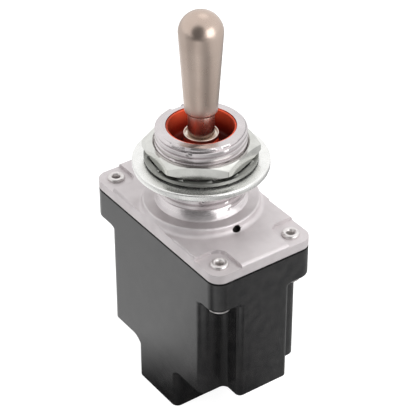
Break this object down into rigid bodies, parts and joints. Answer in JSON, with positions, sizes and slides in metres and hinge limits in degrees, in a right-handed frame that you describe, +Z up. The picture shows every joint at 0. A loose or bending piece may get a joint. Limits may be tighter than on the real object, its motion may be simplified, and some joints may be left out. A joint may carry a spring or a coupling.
{
  "type": "panel toggle switch",
  "caption": "Sealed panel toggle switch: upright bat lever in a threaded bushing, cast cover riveted to a moulded case with a foot, screw terminals below.",
  "frame": {"origin": "on the bushing's axis, in the face of the round boss that seats behind a panel", "axes": "+Z up the bushing to the lever's tip; X along the case's long side, the way the lever swings; Y across"},
  "size_m": [0.0282, 0.0178, 0.0566],
  "materials": {
    "case_moulding": "gloss moulded phenolic",
    "gasket_rubber": "matt",
    "cover_metal": "plated die casting, satin",
    "bright_plating": "bright plated steel",
    "pin_steel": "bright",
    "boot_rubber": "satin silicone",
    "terminal_brass": "satin",
    "contact_silver": "satin",
    "lever_nickel": "satin nickel plated brass",
    "collar_metal": "satin",
    "spring_steel": "bright",
    "plunger_nylon": "natural",
    "rocker_brass": "satin",
    "rivet_metal": "plated, satin",
    "screw_plating": "nickel plated brass"
  },
  "bodies": {
    "root": {"switch_case": "case_moulding", "case_gasket": "gasket_rubber", "cover_and_bushing": "cover_metal", "cover_rivet_1": "rivet_metal", "cover_rivet_2": "rivet_metal", "cover_rivet_3": "rivet_metal", "cover_rivet_4": "rivet_metal", "hex_nut": "bright_plating", "lock_washer": "bright_plating", "locking_ring": "bright_plating", "lever_pin": "pin_steel", "pivot_retainer": "pin_steel", "lever_boot": "boot_rubber", "terminal_common": "terminal_brass", "terminal_end_a": "terminal_brass", "terminal_end_b": "terminal_brass", "terminal_screw_1": "screw_plating", "terminal_screw_2": "screw_plating", "terminal_screw_3": "screw_plating", "terminal_washer_1": "screw_plating", "terminal_washer_2": "screw_plating", "terminal_washer_3": "screw_plating", "fixed_contact_a": "contact_silver", "fixed_contact_b": "contact_silver", "rocker_pin": "pin_steel"},
    "lever": {"toggle_lever": "lever_nickel", "seal_collar": "collar_metal", "plunger_spring": "spring_steel"},
    "plunger": {"detent_plunger": "plunger_nylon"},
    "rocker": {"contact_rocker": "rocker_brass", "moving_contact_a": "contact_silver", "moving_contact_b": "contact_silver"}
  },
  "joints": [
    {"name": "lever_tilt", "type": "hinge", "parent": "root", "child": "lever", "pos_m": [0, 0, 0.0018], "axis": [0, 1, 0], "range_deg": [-13, 13], "deforming": ["lever_boot"]},
    {"name": "rocker_tilt", "type": "hinge", "parent": "root", "child": "rocker", "pos_m": [0, 0, -0.0108], "axis": [0, 1, 0], "range_deg": [-11.05, 11.05]},
    {"name": "plunger_slide", "type": "slide", "parent": "lever", "child": "plunger", "axis": [0, 0, 1], "range_m": [0, 0.0008], "stiffness_N_per_m": 400, "springref_m": -0.0025, "deforming": ["plunger_spring"]}
  ],
  "couplings": [
    {"joint": "rocker_tilt", "follows": "lever_tilt", "ratio": -0.85}
  ]
}
